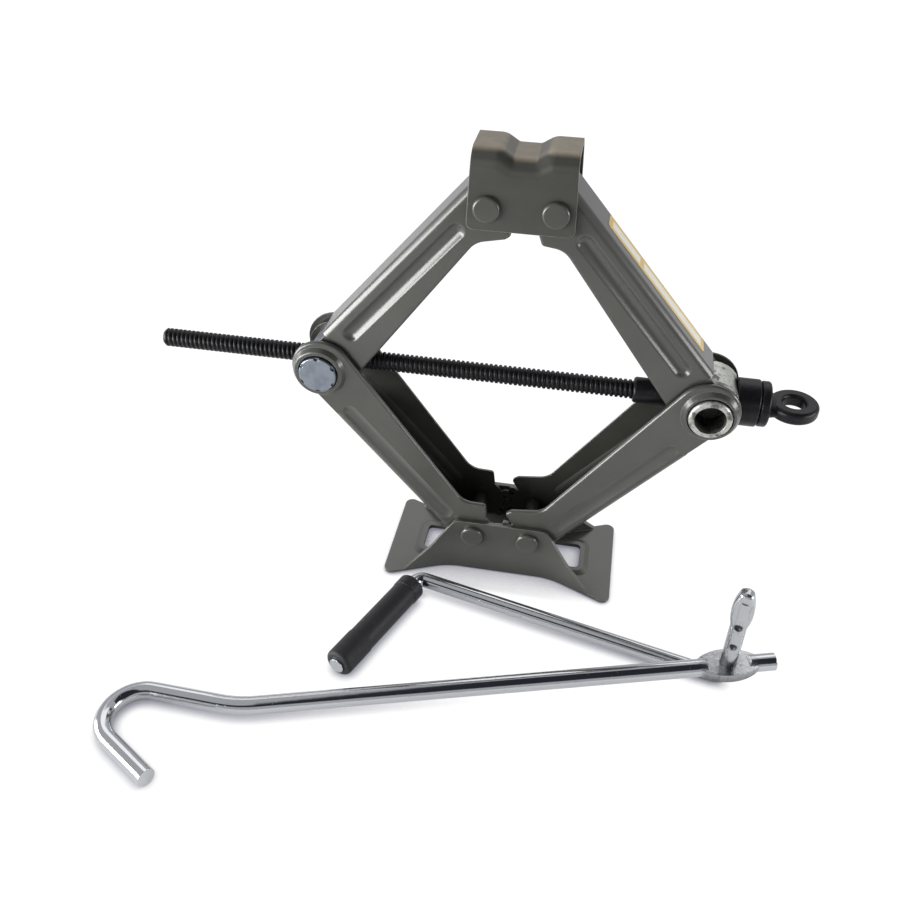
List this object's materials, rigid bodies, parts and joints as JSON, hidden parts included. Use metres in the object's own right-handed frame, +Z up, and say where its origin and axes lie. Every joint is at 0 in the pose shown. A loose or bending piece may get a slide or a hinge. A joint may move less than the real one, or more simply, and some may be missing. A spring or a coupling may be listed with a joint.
{
  "type": "scissor jack",
  "caption": "Screw-driven scissor jack with geared pressed-steel arms, grooved saddle, flared base and a loose folding crank with a hook.",
  "frame": {"origin": "middle of the base plate's underside, on the ground", "axes": "+X along the screw towards its eye, +Y to the back, +Z up"},
  "size_m": [0.4174, 0.2734, 0.298],
  "materials": {
    "olive_paint": "semi-gloss warm grey metallic paint over pressed steel",
    "zinc_steel": "zinc-plated turned steel",
    "black_steel": "oiled black steel",
    "rod_chrome": "bright plated round bar",
    "grip_plastic": "fine-grained black plastic"
  },
  "bodies": {
    "base": {"base_plate": "olive_paint", "base_rivet_left": "olive_paint", "base_rivet_right": "olive_paint"},
    "lower_arm_left": {"lower_arm_left": "olive_paint"},
    "lower_arm_right": {"lower_arm_right": "olive_paint"},
    "upper_arm_left": {"upper_arm_left": "olive_paint"},
    "upper_arm_right": {"upper_arm_right": "olive_paint"},
    "saddle": {"saddle": "olive_paint", "saddle_rivet_left": "olive_paint", "saddle_rivet_right": "olive_paint"},
    "trunnion_nut": {"trunnion_nut": "zinc_steel"},
    "trunnion_block": {"trunnion_block": "zinc_steel", "bearing_cup": "black_steel", "bearing_race_fixed": "zinc_steel"},
    "lead_screw": {"lead_screw": "black_steel", "spacer_sleeve": "black_steel", "bearing_balls": "zinc_steel", "bearing_race_turning": "zinc_steel", "screw_eye": "black_steel"},
    "crank_rod": {"crank_rod": "rod_chrome"},
    "crank_grip": {"crank_grip": "grip_plastic"},
    "hook_rod": {"hook_rod": "rod_chrome"}
  },
  "joints": [
    {"name": "lift_fold", "type": "hinge", "parent": "base", "child": "lower_arm_left", "pos_m": [-0.019, 0, 0.032], "axis": [0, 1, 0], "range_deg": [-41.5, 17]},
    {"name": "lower_right_fold", "type": "hinge", "parent": "base", "child": "lower_arm_right", "pos_m": [0.019, 0, 0.032], "axis": [0, -1, 0], "range_deg": [-41.5, 17]},
    {"name": "upper_left_fold", "type": "hinge", "parent": "lower_arm_left", "child": "upper_arm_left", "pos_m": [-0.12069, 0, 0.14898], "axis": [0, -1, 0], "range_deg": [-83, 34]},
    {"name": "upper_right_fold", "type": "hinge", "parent": "lower_arm_right", "child": "upper_arm_right", "pos_m": [0.12069, 0, 0.14898], "axis": [0, 1, 0], "range_deg": [-83, 34]},
    {"name": "saddle_level", "type": "hinge", "parent": "upper_arm_left", "child": "saddle", "pos_m": [-0.019, 0, 0.26596], "axis": [0, 1, 0], "range_deg": [-41.5, 17]},
    {"name": "nut_level", "type": "hinge", "parent": "lower_arm_left", "child": "trunnion_nut", "pos_m": [-0.12069, 0, 0.14898], "axis": [0, -1, 0], "range_deg": [-41.5, 17]},
    {"name": "block_level", "type": "hinge", "parent": "lower_arm_right", "child": "trunnion_block", "pos_m": [0.12069, 0, 0.14898], "axis": [0, 1, 0], "range_deg": [-41.5, 17]},
    {"name": "screw_turn", "type": "hinge", "parent": "trunnion_block", "child": "lead_screw", "pos_m": [0.12069, 0, 0.14898], "axis": [1, 0, 0], "continuous": true},
    {"name": "crank_lift_off", "type": "slide", "parent": "base", "child": "crank_rod", "axis": [0, 0, 1], "range_m": [0, 0.15]},
    {"name": "grip_turn", "type": "hinge", "parent": "crank_rod", "child": "crank_grip", "pos_m": [-0.05081, -0.04915, 0.0093], "axis": [-0.3746, -0.9272, 0], "continuous": true},
    {"name": "hook_rod_swing", "type": "hinge", "parent": "crank_rod", "child": "hook_rod", "pos_m": [0.152, -0.093, 0], "axis": [0, 0, 1], "range_deg": [-3, 150]}
  ],
  "couplings": [
    {"joint": "lower_right_fold", "follows": "lift_fold", "ratio": 1},
    {"joint": "upper_left_fold", "follows": "lift_fold", "ratio": 2},
    {"joint": "upper_right_fold", "follows": "lift_fold", "ratio": 2},
    {"joint": "saddle_level", "follows": "lift_fold", "ratio": 1},
    {"joint": "nut_level", "follows": "lift_fold", "ratio": 1},
    {"joint": "block_level", "follows": "lift_fold", "ratio": 1}
  ]
}
